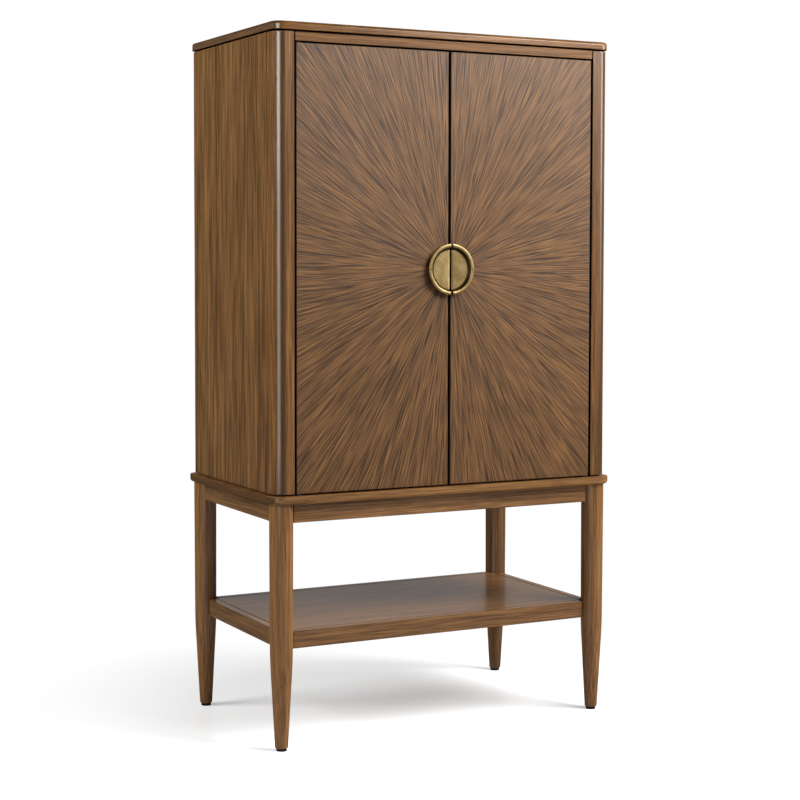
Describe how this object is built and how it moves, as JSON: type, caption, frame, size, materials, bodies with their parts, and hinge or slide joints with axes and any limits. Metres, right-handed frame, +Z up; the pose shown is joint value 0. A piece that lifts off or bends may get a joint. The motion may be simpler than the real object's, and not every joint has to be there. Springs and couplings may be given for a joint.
{
  "type": "display cabinet",
  "caption": "Tall display or bar cabinet: closed round-cornered case with sunburst-veneered doors and a split round brass pull, on an open stand with tapered legs and a low shelf.",
  "frame": {"origin": "on the floor, under the middle of the cabinet", "axes": "+Z up, -Y out of the front with the doors, +X to the right of someone facing the front"},
  "size_m": [0.916, 0.544, 1.65],
  "materials": {
    "walnut": "satin lacquer on brown walnut",
    "sunburst_veneer": "satin lacquer on walnut veneer laid in rays from the middle of the doors",
    "inner_veneer": "matt lacquer on straight-grained veneer",
    "plain_beech": "bare pale wood",
    "antique_brass": "aged, mottled, low polish",
    "bright_steel": "zinc plated",
    "dark_steel": "blackened steel",
    "dark_plastic": "matt black",
    "soft_rubber": "soft, dark grey"
  },
  "bodies": {
    "cabinet": {"top_panel": "walnut", "post_front_left": "walnut", "post_front_right": "walnut", "post_back_left": "walnut", "post_back_right": "walnut", "top_rail": "walnut", "side_panel_left": "walnut", "side_panel_right": "walnut", "base_tray": "walnut", "leg_front_left": "walnut", "leg_front_right": "walnut", "leg_back_left": "walnut", "leg_back_right": "walnut", "apron_front": "walnut", "apron_back": "walnut", "apron_left": "walnut", "apron_right": "walnut", "low_rail_front": "walnut", "low_rail_back": "walnut", "low_rail_left": "walnut", "low_rail_right": "walnut", "low_shelf_panel": "walnut", "carcase_bottom": "inner_veneer", "carcase_top": "inner_veneer", "lower_shelf": "inner_veneer", "upper_shelf": "inner_veneer", "back_panel": "inner_veneer", "carcase_dowels": "plain_beech", "stand_dowels": "plain_beech", "corner_blocks": "plain_beech", "low_shelf_cleats": "plain_beech", "top_panel_screws": "bright_steel", "tray_screws": "bright_steel", "back_panel_screws": "bright_steel", "catch_screws": "bright_steel", "shelf_pins": "bright_steel", "leg_bolts": "bright_steel", "leg_bolt_washers": "bright_steel", "leg_bolt_nuts": "bright_steel", "block_screws": "bright_steel", "pivot_plate_screws": "dark_steel", "left_pivot_plates": "dark_steel", "right_pivot_plates": "dark_steel", "door_catches": "dark_plastic", "leg_glides": "dark_plastic", "pivot_washers": "dark_plastic", "door_bumpers": "soft_rubber"},
    "left_door": {"left_door": "sunburst_veneer", "left_pull": "antique_brass", "left_pull_screws": "bright_steel", "left_pivot_sockets": "dark_steel", "left_socket_screws": "dark_steel", "left_strike_plate": "bright_steel"},
    "right_door": {"right_door": "sunburst_veneer", "right_pull": "antique_brass", "right_pull_screws": "bright_steel", "right_pivot_sockets": "dark_steel", "right_socket_screws": "dark_steel", "right_strike_plate": "bright_steel"}
  },
  "joints": [
    {"name": "left_door_hinge", "type": "hinge", "parent": "cabinet", "child": "left_door", "pos_m": [-0.3846, -0.253, 1.096], "axis": [0, 0, -1], "range_deg": [0, 110]},
    {"name": "right_door_hinge", "type": "hinge", "parent": "cabinet", "child": "right_door", "pos_m": [0.3846, -0.253, 1.096], "axis": [0, 0, 1], "range_deg": [0, 110]}
  ]
}
